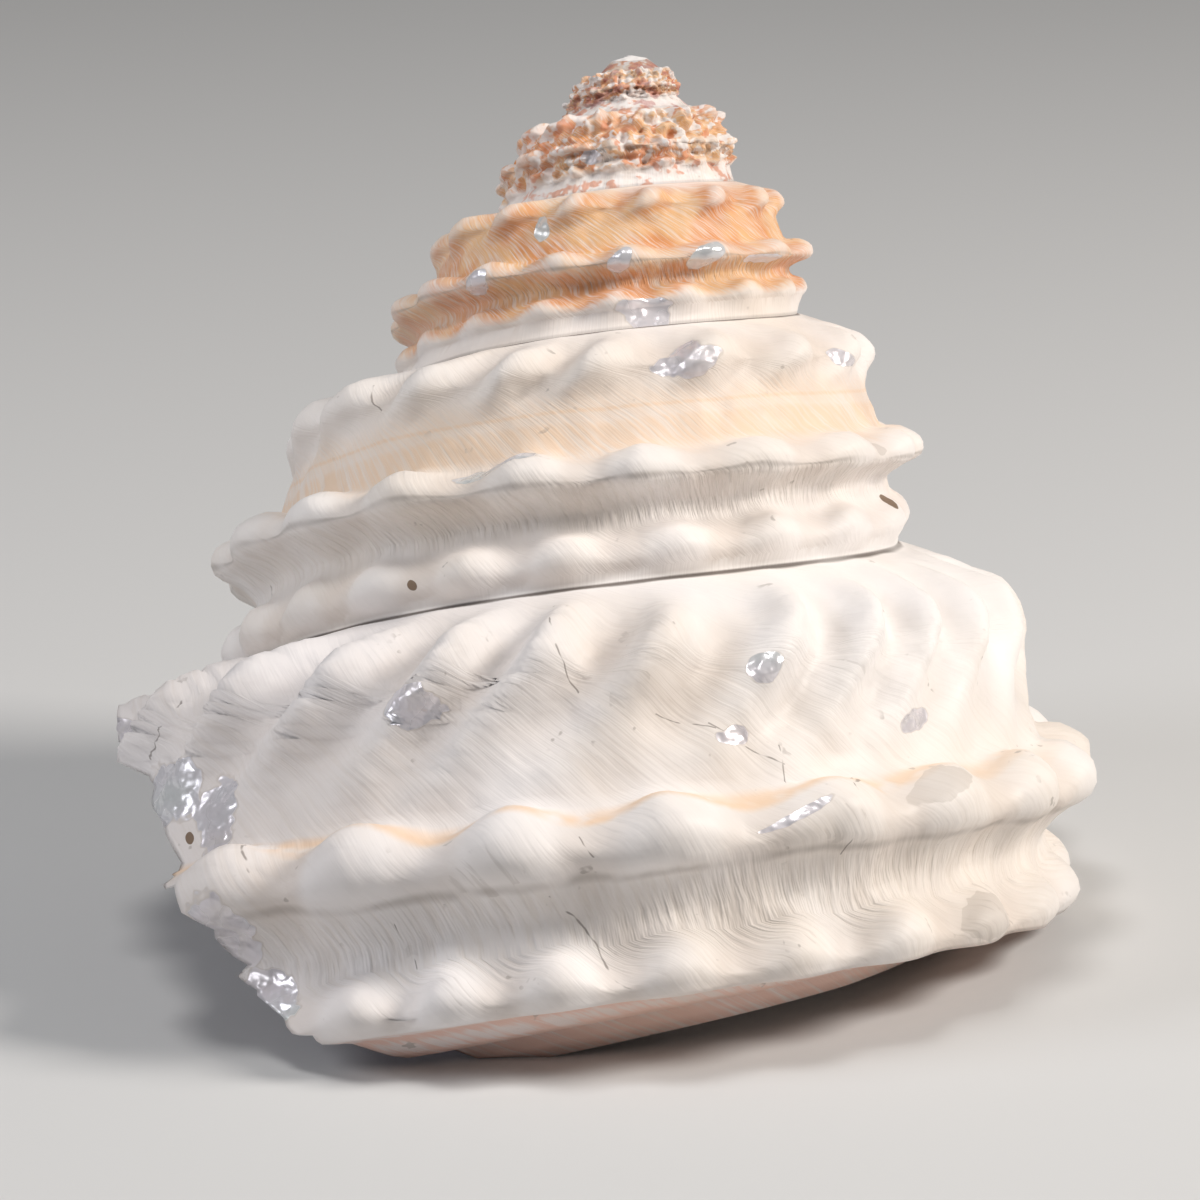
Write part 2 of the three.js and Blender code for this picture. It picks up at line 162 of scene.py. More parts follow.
# The oldest whorls are worn to a cone: numbers of rows and their radii there.
STRAIGHT_RADII = ((0, 36.2), (2, 46.5), (10, 61.5), (16, 60.4), (17, 59.4))
WORN_PHASES = (-2.55, -3.2)
WORN_SHARE = 0.85
FOLD_SHARES = (0, 0.16, 0.6, 1, 1, 0.85, 0.5, 0.2, 0.04, 0, 0, 0, 0, 0, 0, 0, 0, 0)
UPPER_SHARES = (0, 0, 0, 0, 0, 0, 0, 0, 0.2, 0.75, 1, 1, 0.4, 0.1, 0, 0, 0, 0)
LOWER_SHARES = (0, 0, 0, 0, 0, 0, 0, 0, 0, 0, 0, 0, 0, 0, 0.3, 0.85, 1, 0.8)

JOIN = (58.0, 118.15)
JOIN_LIP_BACK = 0.003
SEAM_TUCK = 0.004  # how far the seam lies in, of the way to the axis
SEAM_DEPTH = 117.5
SEAM_LINES = 0.17  # phases from the lip's map to the seam's, so that the growth lines run on
BASE_MAP = (112.2, 2.0)  # depth given to the first row of the base on its map, and more to each row
LIP_MAP = (-0.1, 1.9)  # places on the map that the lip's edge and the closing faces have
FOOT_MAP = (-0.3, 1.4)
DEEP_MAP = (-1.5, 2.5)
TIP_MAP = (FIRST_PHASE, 0.9)
EARLY_BASE_DROP = 6.6
BASE_RISE = (-0.98, -0.75)
BASE_ROWS = (
    (55.6, 112.4, -0.178), (54.0, 113.4, -0.183), (51.6, 114.4, -0.19), (49.4, 113.8, -0.2),
    (46.6, 117.0, -0.218), (43.4, 114.0, -0.223), (40.4, 114.4, -0.23), (36.6, 112.4, -0.232),
    (30.0, 110.4, -0.236), (22.5, 107.6, -0.242), (15.0, 103.8, -0.25), (9.0, 101.2, -0.258),
    (4.0, 99.6, -0.268),
)
LINING_ROWS = (
    (40.8, 71.4, -0.01), (46.0, 74.2, -0.036), (48.3, 78.5, -0.066), (49.8, 85.0, -0.092),
    (52.2, 90.5, -0.112), (55.4, 95.4, -0.13), (53.2, 100.6, -0.143), (53.0, 104.8, -0.147),
    (54.6, 109.0, -0.164), (50.6, 110.6, -0.188), (44.6, 110.8, -0.216), (37.0, 109.0, -0.229),
    (28.5, 106.8, -0.236), (20.0, 103.4, -0.244), (13.5, 99.4, -0.254),
)
COLUMELLA_ROWS = ((9.6, 95.5, -0.235), (7.4, 89.0, -0.2), (6.4, 80.5, -0.15), (6.6, 72.0, -0.1))

FRONT_COLUMNS = 198  # on the half of each whorl that faces the viewer
BACK_COLUMNS = 99
FRONT_SHARE = 0.55
SPIRE_CUTS = 3  # rows of the mesh to each row above
BASE_CUTS = 2
AROUND = 314.0  # millimetres round a whorl at phase 0, which puts phases and depths on one scale
RAMP_PHASES = (-5.0, 0.1)  # what 0 and 1 stand for in the ramps along the whorls
CHIP_DENTS = 0.3 * MM
DEEP_COLUMNS = 60

# Places in growth coordinates where the crust is gone and nacre shows: phase, depth, half sizes, slant.
CHIPS = (
    (-0.187, 78.4, 0.0095, 2.3, 0.25), (-0.3005, 78.4, 0.0055, 1.5, 0.0), (-0.2885, 85.2, 0.0058, 1.15, 0.0),
    (-0.362, 85.5, 0.0075, 1.4, -0.5), (-0.3045, 94.2, 0.0085, 0.8, -0.75), (-0.097, 83.0, 0.014, 3.6, 0.3),
    (-0.1215, 86.6, 0.0085, 4.2, 0.45), (-1.286, 75.6, 0.017, 3.2, 0.0), (-1.194, 94.0, 0.02, 1.0, 0.1),
    (-2.17, 80.5, 0.008, 5.0, 0.35), (-2.315, 99.0, 0.012, 4.0, -0.3), (-2.246, 99.0, 0.009, 4.0, -0.4),
    (-2.376, 100.2, 0.02, 1.8, -0.2), (-2.266, 116.0, 0.021, 3.6, 0.0), (-2.13, 100.0, 0.012, 3.2, -0.5),
    (-1.41, 76.0, 0.008, 2.6, 0.6), (-3.2, 104.0, 0.014, 5.0, 0.2), (-0.052, 74.6, 0.016, 1.1, 0.2),
    (-0.143, 99.5, 0.007, 3.4, 0.3), (-0.152, 105.8, 0.009, 2.6, 0.5),
)
# The same, where a matt beige layer shows instead.
PITS = ((-0.355, 93.2, 0.0105, 1.6, 0.0), (-0.386, 109.4, 0.013, 2.2, 0.2), (-1.4055, 95.9, 0.006, 1.6, 0.0))
# The same, for brown spots, and for patches of fine scales.
SPOTS = (
    (-1.436, 110.0, 0.0045, 1.8, 0.0), (-1.1556, 113.0, 0.0024, 1.3, 0.5), (-0.1123, 88.4, 0.0018, 0.6, 0.4),
)
SCALY = (
    (-0.2545, 79.2, 0.006, 2.2, 0.0), (-0.22, 78.2, 0.006, 1.6, 0.0), (-0.2195, 97.2, 0.009, 2.2, 0.0),
    (-0.211, 108.8, 0.006, 2.0, 0.0), (-0.335, 79.0, 0.006, 1.8, 0.0), (-0.307, 108.8, 0.005, 2.0, 0.0),
    (-0.316, 96.5, 0.008, 2.6, 0.0), (-0.39, 109.4, 0.016, 3.2, 0.0),
)
CRACK_SHARE = 0.65
# Cracks between two points: phase and depth, twice, then the width in millimetres, of which a share is dark.
CRACKS = (
    (-0.2355, 100, -0.259, 110.5, 0.22), (-0.228, 72, -0.239, 78.5, 0.2), (-0.153, 94, -0.1445, 91.7, 0.2),
    (-0.2465, 96.3, -0.243, 93.3, 0.15), (-0.3055, 86.5, -0.3045, 91.5, 0.2),
    (-0.281, 83.6, -0.3055, 88.6, 0.2),
    (-0.321, 99.2, -0.3225, 92.2, 0.2), (-0.3225, 92.2, -0.329, 91.4, 0.2), (-0.09, 72.5, -0.081, 79.0, 0.18),
    (-1.09, 72, -1.104, 77, 0.35), (-0.19, 100.5, -0.2, 108, 0.14), (-0.265, 82, -0.283, 84.2, 0.16),
)


# The stage, in metres: each light's name, place, size, watts and colour, then the camera.
LIGHTS = (
    ("key", (0.62, -0.12, 0.5), 0.25, 5.7, (1.0, 0.95, 0.89)),
    ("fill", (-0.62, -0.2, 0.42), 0.3, 1.8, (0.93, 0.95, 1.0)),
    ("top", (-0.12, -0.1, 0.9), 0.3, 2.5, (1.0, 0.98, 0.96)),
)
MIDDLE = (0, 0, 0.035)
STUDIO_TONE = (0.78, 0.8, 0.82, 1)
STUDIO_STRENGTH = 0.12
PAPER_TONE = (0.62, 0.62, 0.62, 1)
SENSOR_WIDTH = 36
CAMERA_PLACE = (-0.0008, -0.5610, 0.1922)


def smooth(start, end, x):
    share = np.clip((x - start) / (end - start), 0, 1)
    return share * share * (3 - 2 * share)


def look_up(pairs, x):
    places, values = zip(*pairs)
    return np.interp(x, places, values)


def through(rows, steps):
    """Smooth curves through the rows, read at fractions of a row."""
    rows = np.asarray(rows, float)
    first = np.clip(np.floor(steps).astype(int), 0, len(rows) - 2)
    part = (steps - first).reshape((-1,) + (1,) * (rows.ndim - 1))
    before, here = rows[np.maximum(first - 1, 0)], rows[first]
    there, after = rows[first + 1], rows[np.minimum(first + 2, len(rows) - 1)]
    bend = 2 * before - 5 * here + 4 * there - after
    turn = 3 * here - before - 3 * there + after
    return 0.5 * (2 * here + (there - before) * part + bend * part**2 + turn * part**3)


def place(phase, radius, depth):
    """Points of the shell as it rests, in millimetres, from growth phases, radii and depths."""
    size = 1 + phase / WHORLS_TO_LIP
    turn = math.pi - 2 * math.pi * phase
    out = radius * size**RADIUS_POWER * (1 + look_up(RADIUS_DRIFT, phase))
    upright = np.stack([out * np.cos(turn), out * np.sin(turn), -depth * size**DEPTH_POWER], -1)
    return upright @ np.array(REST).T + np.array(CENTRING)


def drifted(depth, drift, phase):
    return depth * (1 + look_up(drift, phase) * smooth(*DRIFT_DEPTHS, depth))


def column_phases():
    """Phases of the columns: the same pattern in every whorl, so that neighbouring whorls meet."""
    front = np.linspace(0, FRONT_SHARE, FRONT_COLUMNS, endpoint=False)
    back = np.linspace(FRONT_SHARE, 1, BACK_COLUMNS, endpoint=False)
    pattern = np.concatenate([front, back])
    whorls = int(math.ceil(SUTURE_LIP - FIRST_PHASE))
    offsets = np.concatenate([pattern + whorl for whorl in range(whorls)])
    phases = SUTURE_LIP - offsets
    return phases[phases >= FIRST_PHASE - 1e-9][::-1]


def lip_phases(steps):
    """Where the broken lip cuts each row of the spire, with small splinters."""
    even = np.interp(steps, range(len(ROWS)), [row[4] for row in ROWS])
    splinters = [noise.noise(Vector((step * SPLINTERS_A_ROW, 7.7, 0))) for step in steps]
    inner = np.clip(np.minimum(steps, steps[-1] - steps), 0, 1)
    return even + SPLINTER_REACH * np.array(splinters) * inner


def wave(crests, phase, depth, lean, tail=0.0):
    swept = lean * (depth - FOLD_DEPTH) + tail * np.maximum(depth - FOLD_TAIL[0], 0)
    number = look_up(crests, phase - swept)
    return np.cos(2 * math.pi * number)


def roughen(phase, depth, scale, amount, octaves):
    """Unevenness of the surface in growth space, in millimetres."""
    values = np.empty(phase.size)
    for index, (turn, down) in enumerate(zip(phase.flat, depth.flat)):
        around = 2 * math.pi * turn
        up = turn * LUMPS_A_WHORL_UP + down * LUMPS_A_MILLIMETRE
        where = Vector((LUMP_RING * math.cos(around), LUMP_RING * math.sin(around), up))
        values[index] = noise.fractal(where * scale, 1.0, 2.1, octaves)
    return amount * values.reshape(phase.shape)


def spire_pairs(steps, phase):
    """Radius and depth of the spire without its waves."""
    rows = np.array(ROWS)
    early, late = through(rows[:, 0:2], steps), through(rows[:, 2:4], steps)
    share = look_up(LATENESS, phase)
    radius = early[:, 0:1] * (1 - share) + late[:, 0:1] * share
    depth = early[:, 1:2] * (1 - share) + late[:, 1:2] * share
    straight = np.interp(steps, *zip(*STRAIGHT_RADII))[:, None]
    worn = WORN_SHARE * smooth(*WORN_PHASES, phase)
    radius = radius + worn * np.maximum(straight - radius, 0)
    return radius, drifted(depth, KEEL_DRIFT, phase)


def spire_points(form, steps, phase):
    """Points of the spire with its waves, their depths before the waves, and how high the waves are."""
    radius, depth = spire_pairs(steps, phase)
    slope_out, slope_down = np.gradient(radius, axis=0), np.gradient(depth, axis=0)
    length = np.hypot(slope_out, slope_down)
    normal_out, normal_down = slope_down / length, -slope_out / length
    whole = range(LAST_ROW + 1)
    folds = np.interp(steps, whole, FOLD_SHARES)[:, None] * wave(
        FOLD_CRESTS, phase, depth, FOLD_LEAN, FOLD_TAIL[1])
    trough = TROUGH_SHARE * (1 - smooth(*THIN_LIP, phase))
    folds = folds * np.where(folds < 0, trough, CREST_SHARE)
    folds = folds * (1 - smooth(*SHORT_FOLDS[0], depth) * smooth(*SHORT_FOLDS[1], phase))
    upper = np.interp(steps, whole, UPPER_SHARES)[:, None] * wave(UPPER_CRESTS, phase, depth, 0)
    lower = np.interp(steps, whole, LOWER_SHARES)[:, None] * wave(LOWER_CRESTS, phase, depth, 0)
    out = form.fold_height * folds + form.upper_keel_height * upper + form.lower_keel_height * lower
    out = out / MM * (1 + sum(more * smooth(start, end, phase) for more, start, end in OLDER_WAVES))
    edge = np.clip(np.minimum(steps, steps[-1] - steps) * 0.7, 0, 1)[:, None]
    out = out + roughen(phase, depth, *UNEVEN, 3) * edge
    out = out + roughen(phase, depth, *LUMPS, 1) * edge * smooth(*LUMP_PHASES, phase)
    rise = form.keel_rise / MM * (upper + lower)
    points = place(phase, radius + out * normal_out, depth + out * normal_down - rise)
    return points, depth, folds + upper + lower


def base_pair(index, phase):
    radius, depth, _ = BASE_ROWS[index]
    early = 1 - smooth(*BASE_RISE, phase)
    return radius, drifted(depth + EARLY_BASE_DROP * early, BASE_DRIFT, phase)


def parietal_phase(index):
    return COVERED - PARIETAL_SWEEP * (index + 1) / len(BASE_ROWS)


def join_points(columns):
    warp = lip_share(columns)
    phase = columns + (ROWS[-1][4] - JOIN_LIP_BACK - SUTURE_LIP) * warp
    keel = spire_pairs(np.array([len(ROWS) - 1.0]), phase[None])
    radius, depth = base_pair(0, phase)
    free = smooth(COVERED, COVERED + SUTURE_JOIN, phase)
    radius = JOIN[0] * (1 - free) + 0.5 * (keel[0][0] + radius) * free
    depth = JOIN[1] * (1 - free) + 0.5 * (keel[1][0] + depth) * free
    return phase, place(phase, radius, depth)


def lip_share(columns):
    """How far the columns have turned to follow the broken lip: 1 at the lip."""
    return np.clip((columns - SUTURE_LIP + LIP_WARP) / LIP_WARP, 0, 1)


def base_points(index, columns):
    start = parietal_phase(index)
    early = np.clip(1 - (columns - COVERED) / PARIETAL_WARP, 0, 1)
    lip = BASE_ROWS[index][2]
    phase = columns + (start - COVERED) * early + (lip - SUTURE_LIP) * lip_share(columns)
    radius, depth = base_pair(index, phase)
    points = place(phase, radius, depth)
    outer, inner = CALLUS_RADII
    share = np.clip((outer - radius) / (outer - inner), 0, 1) ** 1.5
    share = share * smooth(start, start + CALLUS_REACH, phase)
    points[:, 2] += share * (np.minimum(points[:, 2], -CALLUS_DIP) - points[:, 2])
    return phase, points


def thinned(row, back):
    """A row of the lining, moved towards the outside where the wall thins to the lip."""
    outline = np.array([r[2:4] for r in ROWS] + [r[0:2] for r in BASE_ROWS])
    near = outline[np.argmin(np.hypot(outline[:, 0] - row[0], outline[:, 1] - row[1]))]
    share = LIP_THINNING * (1 - smooth(0, LIP_TAPER, back))
    return row[0] + (near[0] - row[0]) * share, row[1] + (near[1] - row[1]) * share


def ceiling_points(index, back):
    phase = parietal_phase(index) - back
    radius, depth = base_pair(index, phase)
    inset = smooth(0, CEILING_FADE, back)
    radius = radius * (1 + (CEILING_INSET[0] - 1) * inset)
    return place(phase, radius, depth + CEILING_INSET[1] * inset)


def lining_points(row, back):
    phase = row[2] - LIP_BEVEL - back
    radius, depth = thinned(row, back)
    return place(phase, radius, drifted(depth, BASE_DRIFT, phase))


def columella_points(row, back):
    phase = row[2] - back
    return place(phase, np.full_like(back, row[0]), np.full_like(back, row[1]))


def ring_points(back):
    """The rows of the inside of the shell in order: under the suture, down the lip, round to the columella
    and the ceiling.
    """
    rows = [ceiling_points(0, back)]
    rows += [lining_points(row, back) for row in LINING_ROWS]
    rows += [columella_points(row, back) for row in COLUMELLA_ROWS]
    rows += [ceiling_points(index, back) for index in range(len(BASE_ROWS) - 1, 0, -1)]
    return np.array(rows)


def lengths_along(points):
    steps = np.linalg.norm(np.diff(points, axis=0), axis=1)
    return np.concatenate([[0], np.cumsum(steps)]) / steps.sum()


def lay_grid(bm, points, growth, lines, material, relief=None):
    """Adds a grid and moves its points to the given places, with its two maps."""
    rows, columns = points.shape[:2]
    made = bmesh.ops.create_grid(bm, x_segments=columns - 1, y_segments=rows - 1, size=1)
    low, high = (np.array(corner) / MM for corner in CAD_BOX)
    held = np.clip(points, low, high) * MM
    growth_map, line_map = bm.loops.layers.uv["growth"], bm.loops.layers.uv["lines"]
    height = bm.verts.layers.float["relief"]
    for vertex in made["verts"]:
        column = round((vertex.co.x + 1) / 2 * (columns - 1))
        row = round((vertex.co.y + 1) / 2 * (rows - 1))
        vertex.co = held[row, column]
        vertex[height] = 0.0 if relief is None else relief[row, column]
        for loop in vertex.link_loops:
            loop[growth_map].uv = growth[row, column]
            loop[line_map].uv = lines[row, column]
            loop.face.material_index = material


def boundary_loops(bm):
    """Sets of open edges that hang together."""
    left = dict.fromkeys(edge for edge in bm.edges if edge.is_boundary)
    loops = []
    while left:
        reached, todo = [], [next(iter(left))]
        while todo:
            edge = todo.pop()
            if edge not in left:
                continue
            del left[edge]
            reached.append(edge)
            todo += [other for vertex in edge.verts for other in vertex.link_edges if other in left]
        loops.append(reached)
    return loops


def dome_over(bm, edges, top):
    """Rounds an open edge over, half of the way in to its top, and gives the new open edge."""
    made = bmesh.ops.extrude_edge_only(bm, edges=edges)["geom"]
    inward, upward = 0.45, 0.8
    for vertex in (item for item in made if isinstance(item, bmesh.types.BMVert)):
        vertex.co.x += inward * (top.x - vertex.co.x)
        vertex.co.y += inward * (top.y - vertex.co.y)
        vertex.co.z += upward * (top.z - vertex.co.z)
    return [item for item in made if isinstance(item, bmesh.types.BMEdge) and item.is_boundary]


def close_to_point(bm, edges, point, material, growth):
    """Draws an open edge in to one point, which lies at one place of both maps."""
    made = bmesh.ops.extrude_edge_only(bm, edges=edges)["geom"]
    vertices = [item for item in made if isinstance(item, bmesh.types.BMVert)]
    maps = [bm.loops.layers.uv[name] for name in ("growth", "lines")]
    for face in (item for item in made if isinstance(item, bmesh.types.BMFace)):
        face.material_index = material
        for loop in face.loops:
            for layer in maps:
                loop[layer].uv = growth
    bmesh.ops.pointmerge(bm, verts=vertices, merge_co=point)


def middle_of(edges):
    corners = dict.fromkeys(vertex for edge in edges for vertex in edge.verts)
    return sum((vertex.co for vertex in corners), Vector()) / len(corners)


def stack(x, y):
    x, y = np.broadcast_arrays(x, y)
    return np.stack([x, y], -1)


def build_shell_mesh(form):
    bm = bmesh.new()
    bm.loops.layers.uv.new("growth")
    bm.loops.layers.uv.new("lines")
    bm.verts.layers.float.new("relief")
    columns = column_phases()
    whorl = FRONT_COLUMNS + BACK_COLUMNS
    steps = np.linspace(0, LAST_ROW, SPIRE_CUTS * LAST_ROW + 1)
    lips = lip_phases(steps)
    phase = columns[None] + (lips[:, None] - SUTURE_LIP) * lip_share(columns)[None]
    spire, depth, relief = spire_points(form, steps, phase)
    even_lips = np.interp(steps, range(LAST_ROW + 1), [row[4] for row in ROWS])
    lines = stack(phase - even_lips[:, None], steps[:, None] / LAST_ROW)
    lay_grid(bm, spire, stack(phase, depth / 100), lines, 0, relief)

    under, above = spire[-1, :-whorl], spire[0, whorl:]
    tucked = 0.5 * (under + above)
    tucked = tucked + SEAM_TUCK * (place(columns[:-whorl], 0, JOIN[1]) - tucked)
    cover = np.stack([under, tucked, above])
    cover_phase = columns[:-whorl][None]
    cover_depth = np.array([[depth[-1, 0]], [SEAM_DEPTH], [JOIN[1]]]) / 100
    cover_lines = stack(cover_phase + SEAM_LINES, np.ones((3, 1)))
    lay_grid(bm, cover, stack(cover_phase, cover_depth), cover_lines, 0)

    last = columns[-whorl - 1:]
    phases, points = [phase[-1, -whorl - 1:]], [spire[-1, -whorl - 1:]]
    join_phase, join = join_points(last)
    join[0] = spire[0, -1]
    phases.append(join_phase)
    points.append(join)
    for index in range(len(BASE_ROWS)):
        row_phase, row = base_points(index, last)
        phases.append(row_phase)
        points.append(row)
    base_steps = np.linspace(0, len(points) - 1, BASE_CUTS * (len(points) - 1) + 1)
    base = through(points, base_steps)
    base_phase = through(phases, base_steps)
    base[1, 0] = tucked[-1]
    down = (BASE_MAP[0] + BASE_MAP[1] * base_steps[:, None]) / 100
    start = base_phase[:, -1:]
    base_lines = stack(base_phase - start, 1 + base_steps[:, None] / LAST_ROW)
    lay_grid(bm, base, stack(base_phase, down), base_lines, 0)

    back = LINING_REACH * np.linspace(0, 1, DEEP_COLUMNS) ** 1.5
    ring = ring_points(back)
    foot_row = 1 + len(LINING_ROWS)
    inner_lip = ring[: foot_row + 1, 0]
    outer_lip = np.concatenate([spire[:, -1], base[1:, -1]])
    shares = lengths_along(outer_lip)
    at = np.interp(shares, lengths_along(inner_lip), range(foot_row + 1))
    lining = through(ring[: foot_row + 1], at)
    deep = stack(-back[None], 2 + at[:, None] / 16)
    lay_grid(bm, lining, deep, deep, 1)

    columella_steps = np.linspace(foot_row, foot_row + 4, 13)
    ceiling_steps = np.linspace(foot_row + 4, len(ring), 2 * (len(BASE_ROWS) - 1) + 1)[1:]
    closed = np.concatenate([ring[foot_row:], ring[:1]])
    rest = np.concatenate([columella_steps, ceiling_steps])
    ceiling = through(closed, rest - foot_row)
    seam = base[2 * BASE_CUTS:, 0][::-1]
    ceiling[len(columella_steps) - 1:, 0] = seam
    deep = stack(-back[None], 2 + rest[:, None] / 16)
    lay_grid(bm, ceiling, deep, deep, 1)

    inner_lip = lining[:, 0]
    rounded = 0.5 * (outer_lip + inner_lip)
    rounded[0] = base[3, 0]
    strip = np.stack([outer_lip, rounded, inner_lip])
    lip_growth = stack(np.full((3, 1), LIP_MAP[0]), np.full((3, len(outer_lip)), LIP_MAP[1]))
    lay_grid(bm, strip[:2], lip_growth[:2], lip_growth[:2], 0)
    lay_grid(bm, strip[1:], lip_growth[1:], lip_growth[1:], 1)

    bmesh.ops.remove_doubles(bm, verts=bm.verts, dist=2e-6)
    foot, deep_end, tip = sorted(boundary_loops(bm), key=lambda edges: middle_of(edges).z)
    foot_point = place(np.array(BASE_ROWS[-1][2]), 0, BASE_ROWS[-1][1])
    top = REST @ Vector((0, 0, -APEX_DEPTH)) + Vector(CENTRING)
    close_to_point(bm, foot, Vector((foot_point[0], foot_point[1], 0)) * MM, 0, FOOT_MAP)
    close_to_point(bm, deep_end, middle_of(deep_end), 1, DEEP_MAP)
    close_to_point(bm, dome_over(bm, tip, top * MM), top * MM, 0, TIP_MAP)
    bmesh.ops.recalc_face_normals(bm, faces=bm.faces)
    for face in bm.faces:
        face.smooth = True
    mesh = bpy.data.meshes.new("shell_surface")
    bm.to_mesh(mesh)
    bm.free()
    return mesh


def add(tree, kind, inputs=None, **settings):
    """Adds a node, with its settings and the values or sockets of its inputs."""
    made = tree.nodes.new(kind)
    for name, value in settings.items():
        setattr(made, name, value)
    for key, value in (inputs or {}).items():
        if isinstance(value, bpy.types.NodeSocket):
            tree.links.new(value, made.inputs[key])
        else:
            made.inputs[key].default_value = value
    return made


def calculate(tree, operation, *values, clamp=False):
    made = add(tree, "ShaderNodeMath", dict(enumerate(values)), operation=operation, use_clamp=clamp)
    return made.outputs[0]


def fade(tree, value, low, high, to_low=0.0, to_high=1.0):
    inputs = {"Value": value, "From Min": low, "From Max": high, "To Min": to_low, "To Max": to_high}
    made = add(tree, "ShaderNodeMapRange", inputs, interpolation_type="SMOOTHSTEP")
    return made.outputs[0]


def between(tree, value, low, high, soft):
    """1 between two values, fading over `soft` on both sides."""
    rising = fade(tree, value, low - soft, low + soft)
    falling = fade(tree, value, high - soft, high + soft, 1.0, 0.0)
    return calculate(tree, "MULTIPLY", rising, falling)


def blend(tree, share, first, second):
    made = add(tree, "ShaderNodeMix", {0: share, 6: first, 7: second}, data_type="RGBA")
    return made.outputs[2]


def grain(tree, vector, scale, detail=3.0, roughness=0.55, stretch=None):
    if stretch:
        vector = add(tree, "ShaderNodeMapping", {"Vector": vector, "Scale": stretch}).outputs[0]
    inputs = {"Vector": vector, "Scale": scale, "Detail": detail, "Roughness": roughness}
    return add(tree, "ShaderNodeTexNoise", inputs).outputs["Fac"]


def steps_of(tree, value, stops):
    """A value read off a list of places and values, with straight lines between."""
    ramp = add(tree, "ShaderNodeValToRGB", {"Fac": value})
    elements = ramp.color_ramp.elements
    while len(elements) < len(stops):
        elements.new(0.5)
    for element, (position, level) in zip(elements, stops):
        element.position = position
        element.color = (level, level, level, 1)
    return ramp.outputs[0]


def new_group(name, inputs, outputs):
    group = bpy.data.node_groups.new(name, "ShaderNodeTree")
    for label, kind in inputs:
        group.interface.new_socket(name=label, in_out="INPUT", socket_type=kind)
    for label, kind in outputs:
        group.interface.new_socket(name=label, in_out="OUTPUT", socket_type=kind)
    return group, group.nodes.new("NodeGroupInput").outputs, group.nodes.new("NodeGroupOutput").inputs


def patch_group():
    """How far a place in growth coordinates is from a slanted oval, squared: under 1 inside it."""
    vector, number = "NodeSocketVector", "NodeSocketFloat"
    names = ("Place", "Middle", "Across", "Down")
    group, given, result = new_group("Patch", [(name, vector) for name in names], [("Square", number)])
    reach = add(group, "ShaderNodeVectorMath", {0: given["Place"], 1: given["Middle"]}, operation="SUBTRACT")
    across, down = (
        add(group, "ShaderNodeVectorMath", {0: reach.outputs[0], 1: given[name]}, operation="DOT_PRODUCT")
        .outputs["Value"] for name in ("Across", "Down"))
    square = calculate(group, "MULTIPLY_ADD", across, across, calculate(group, "MULTIPLY", down, down))
    group.links.new(square, result["Square"])
    return group


def crack_group():
    """How far a place is from a straight run between two points, in widths of the crack."""
    vector, number = "NodeSocketVector", "NodeSocketFloat"
    names = [("Place", vector), ("From", vector), ("Run", vector), ("Run Squared", number), ("Width", number)]
    group, given, result = new_group("Crack", names, [("Distance", number)])
    reach = add(group, "ShaderNodeVectorMath", {0: given["Place"], 1: given["From"]}, operation="SUBTRACT")
    dot = add(group, "ShaderNodeVectorMath", {0: reach.outputs[0], 1: given["Run"]}, operation="DOT_PRODUCT")
    share = calculate(group, "DIVIDE", dot.outputs["Value"], given["Run Squared"], clamp=True)
    foot = add(group, "ShaderNodeVectorMath", {0: given["Run"], "Scale": share}, operation="SCALE")
    gap = add(group, "ShaderNodeVectorMath", {0: reach.outputs[0], 1: foot.outputs[0]}, operation="DISTANCE")
    group.links.new(calculate(group, "DIVIDE", gap.outputs["Value"], given["Width"]), result["Distance"])
    return group


def nacre_group():
    """Mother-of-pearl colour, drifting between grey, pink and green."""
    colour, vector, number = "NodeSocketColor", "NodeSocketVector", "NodeSocketFloat"
    inputs = [("Place", vector), ("Base", colour), ("Tint", number)]
    group, given, result = new_group("Nacre", inputs, [("Color", colour), ("Height", number)])
    drift = grain(group, given["Place"], 95.0, 2.0, 0.5)
    hue = calculate(group, "MULTIPLY_ADD", drift, 1.9, -0.2)
    tint = add(group, "ShaderNodeCombineColor", {0: hue, 1: 0.42, 2: 0.85}, mode="HSV").outputs[0]
    group.links.new(blend(group, given["Tint"], given["Base"], tint), result["Color"])
    group.links.new(grain(group, given["Place"], 900.0, 3.0, 0.6), result["Height"])
    return group


def use_group(tree, group, inputs):
    made = add(tree, "ShaderNodeGroup", node_tree=group)
    for name, value in inputs.items():
        if isinstance(value, bpy.types.NodeSocket):
            tree.links.new(value, made.inputs[name])
        else:
            made.inputs[name].default_value = value
    return made.outputs


def patches(tree, group, where, ragged, places):
    """The union of all patches of one kind, with ragged edges, and the distance that it comes from."""
    nearest = None
    for at_phase, at_depth, half_width, half_height, slant in places:
        across = (1 / (half_width * AROUND), slant / half_height, 0)
        values = {"Place": where, "Middle": (at_phase * AROUND, at_depth, 0), "Across": across,
                  "Down": (0, 1 / half_height, 0)}
        one = use_group(tree, group, values)["Square"]
        nearest = one if nearest is None else calculate(tree, "MINIMUM", nearest, one)
    edge = calculate(tree, "ADD", nearest, ragged)
    return fade(tree, edge, 1.08, 0.92), edge


def cracks(tree, group, where, wander):
    """All cracks, wandering a little from their straight runs."""
    where = add(tree, "ShaderNodeVectorMath", {0: where, 1: wander}, operation="ADD").outputs[0]
    nearest = None
    for phase_a, depth_a, phase_b, depth_b, width in CRACKS:
        run = (phase_b - phase_a) * AROUND, depth_b - depth_a
        values = {"Place": where, "From": (phase_a * AROUND, depth_a, 0), "Run": (*run, 0),
                  "Run Squared": run[0] ** 2 + run[1] ** 2, "Width": width * CRACK_SHARE}
        one = use_group(tree, group, values)["Distance"]
        nearest = one if nearest is None else calculate(tree, "MINIMUM", nearest, one)
    return fade(tree, nearest, 1.0, 0.35)


